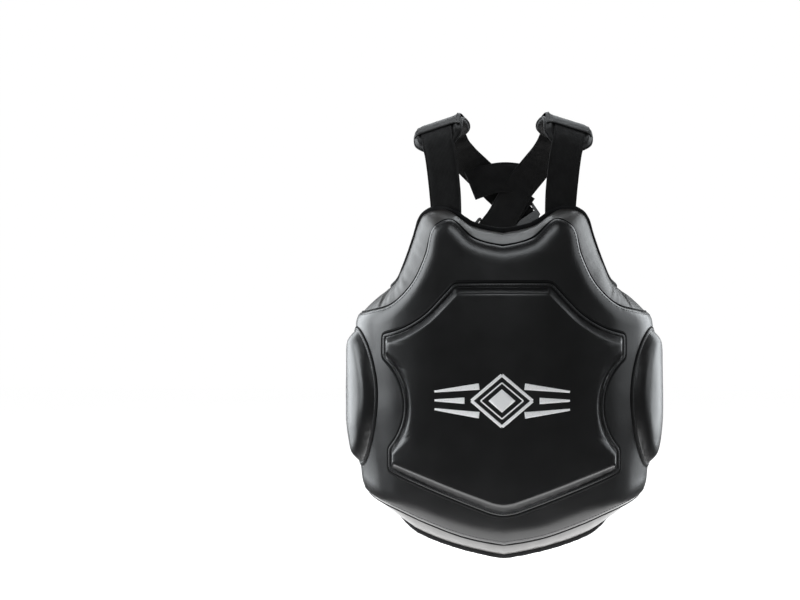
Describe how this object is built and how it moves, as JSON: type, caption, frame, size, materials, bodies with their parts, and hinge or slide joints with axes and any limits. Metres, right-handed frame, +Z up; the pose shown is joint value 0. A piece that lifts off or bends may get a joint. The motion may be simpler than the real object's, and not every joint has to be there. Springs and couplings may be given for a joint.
{
  "type": "chest protector",
  "caption": "Padded leather body shield that wraps the chest and sides of a boxing or martial arts trainer, worn with crossed webbing straps and side-release buckles.",
  "frame": {"origin": "centre of the torso space, at the height of the waist strap's middle", "axes": "+Z up along the wearer's body, front faces -Y, +X to the wearer's left"},
  "size_m": [0.4974, 0.2995, 0.6849],
  "materials": {
    "face_leather": "satin",
    "gusset_leather": "satin",
    "pad_leather": "satin",
    "lining_nylon": "matte",
    "binding_tape": "matte",
    "webbing": "matte",
    "buckle_plastic": "satin",
    "foam": "matte"
  },
  "bodies": {
    "vest": {"back_left_buckle_socket": "buckle_plastic", "back_lining": "lining_nylon", "back_right_buckle_socket": "buckle_plastic", "back_strap_left": "webbing", "back_strap_right": "webbing", "edge_binding": "binding_tape", "edge_gusset": "gusset_leather", "front_foam_layer": "foam", "outer_face_cover": "face_leather", "rear_foam_layer": "foam", "shield_cover": "face_leather", "shield_foam": "foam", "shoulder_strap_left": "webbing", "shoulder_strap_right": "webbing", "side_disc_cover_left": "face_leather", "side_disc_cover_right": "face_leather", "side_disc_foam_left": "foam", "side_disc_foam_right": "foam", "strap_anchor_left": "webbing", "strap_anchor_right": "webbing", "waist_buckle_socket": "buckle_plastic", "waist_strap_long": "webbing", "waist_strap_short": "webbing"},
    "waist_plug_half": {"waist_buckle_plug": "buckle_plastic"},
    "waist_latch_a": {"waist_latch_arm_a": "buckle_plastic"},
    "waist_latch_b": {"waist_latch_arm_b": "buckle_plastic"},
    "back_left_plug_half": {"back_left_buckle_plug": "buckle_plastic"},
    "back_left_latch_a": {"back_left_latch_arm_a": "buckle_plastic"},
    "back_left_latch_b": {"back_left_latch_arm_b": "buckle_plastic"},
    "back_right_plug_half": {"back_right_buckle_plug": "buckle_plastic"},
    "back_right_latch_a": {"back_right_latch_arm_a": "buckle_plastic"},
    "back_right_latch_b": {"back_right_latch_arm_b": "buckle_plastic"},
    "shoulder_pad_left": {"shoulder_pad_cover_left": "pad_leather", "shoulder_pad_foam_left": "foam", "shoulder_pad_tunnel_left": "pad_leather"},
    "shoulder_pad_right": {"shoulder_pad_cover_right": "pad_leather", "shoulder_pad_foam_right": "foam", "shoulder_pad_tunnel_right": "pad_leather"}
  },
  "joints": [
    {"name": "waist_buckle_release", "type": "slide", "parent": "vest", "child": "waist_plug_half", "axis": [0.9703, 0.2419, 0], "range_m": [0, 0.04], "deforming": ["waist_strap_long", "waist_latch_arm_a", "waist_latch_arm_b"]},
    {"name": "waist_latch_a_press", "type": "hinge", "parent": "waist_plug_half", "child": "waist_latch_a", "pos_m": [-0.05827, 0.10856, -0.019], "axis": [-0.2419, 0.9703, 0], "range_deg": [0, 7], "stiffness_Nm_per_rad": 0.5},
    {"name": "waist_latch_b_press", "type": "hinge", "parent": "waist_plug_half", "child": "waist_latch_b", "pos_m": [-0.05827, 0.10856, 0.019], "axis": [0.2419, -0.9703, 0], "range_deg": [0, 7], "stiffness_Nm_per_rad": 0.5},
    {"name": "back_left_buckle_release", "type": "slide", "parent": "vest", "child": "back_left_plug_half", "axis": [0.5496, -0.0999, -0.8294], "range_m": [0, 0.04], "deforming": ["back_strap_left", "back_left_latch_arm_a", "back_left_latch_arm_b"]},
    {"name": "back_left_latch_a_press", "type": "hinge", "parent": "back_left_plug_half", "child": "back_left_latch_a", "pos_m": [0.03886, 0.1246, 0.27389], "axis": [0.0552, 0.995, -0.0833], "range_deg": [0, 7], "stiffness_Nm_per_rad": 0.5},
    {"name": "back_left_latch_b_press", "type": "hinge", "parent": "back_left_plug_half", "child": "back_left_latch_b", "pos_m": [0.07053, 0.1246, 0.29488], "axis": [-0.0552, -0.995, 0.0833], "range_deg": [0, 7], "stiffness_Nm_per_rad": 0.5},
    {"name": "back_right_buckle_release", "type": "slide", "parent": "vest", "child": "back_right_plug_half", "axis": [-0.6092, -0.0799, -0.789], "range_m": [0, 0.04], "deforming": ["back_strap_right", "back_right_latch_arm_a", "back_right_latch_arm_b"]},
    {"name": "back_right_latch_a_press", "type": "hinge", "parent": "back_right_plug_half", "child": "back_right_latch_a", "pos_m": [-0.06657, 0.11638, 0.27057], "axis": [-0.0488, 0.9968, -0.0632], "range_deg": [0, 7], "stiffness_Nm_per_rad": 0.5},
    {"name": "back_right_latch_b_press", "type": "hinge", "parent": "back_right_plug_half", "child": "back_right_latch_b", "pos_m": [-0.03649, 0.11638, 0.24734], "axis": [0.0488, -0.9968, 0.0632], "range_deg": [0, 7], "stiffness_Nm_per_rad": 0.5},
    {"name": "shoulder_pad_left_slide", "type": "hinge", "parent": "vest", "child": "shoulder_pad_left", "pos_m": [0.0807, -0.00378, 0.40256], "axis": [0.9403, 0.1999, -0.2756], "range_deg": [-6, 6]},
    {"name": "shoulder_pad_right_slide", "type": "hinge", "parent": "vest", "child": "shoulder_pad_right", "pos_m": [-0.0807, -0.00378, 0.40256], "axis": [0.9403, -0.1999, 0.2756], "range_deg": [-6, 6]}
  ]
}
